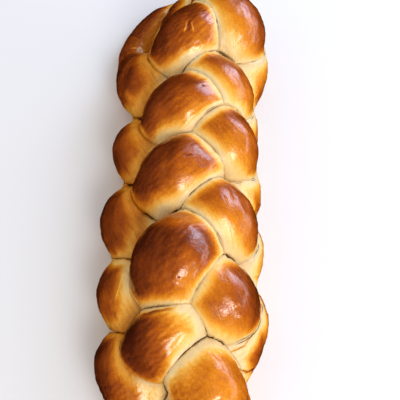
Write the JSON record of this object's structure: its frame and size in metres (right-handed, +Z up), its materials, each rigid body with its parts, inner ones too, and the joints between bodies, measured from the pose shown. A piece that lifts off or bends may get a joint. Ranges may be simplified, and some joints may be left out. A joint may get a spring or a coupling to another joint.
{
  "type": "braided loaf",
  "caption": "Long braided bread loaf with plump overlapping lobes, tapered pinched ends and a flat base.",
  "frame": {"origin": "centre of the loaf's bounding box, on the flat base at z = 0", "axes": "+Y along the loaf towards its far end, +Z up from the base, +X across the loaf to the right"},
  "size_m": [0.1404, 0.4368, 0.1009],
  "materials": {
    "crust": "baked bread crust brushed with egg: deep golden brown and glossy on the crowns, pale cream-gold and satin in the creases"
  },
  "bodies": {
    "root": {"loaf": "crust"}
  },
  "joints": []
}
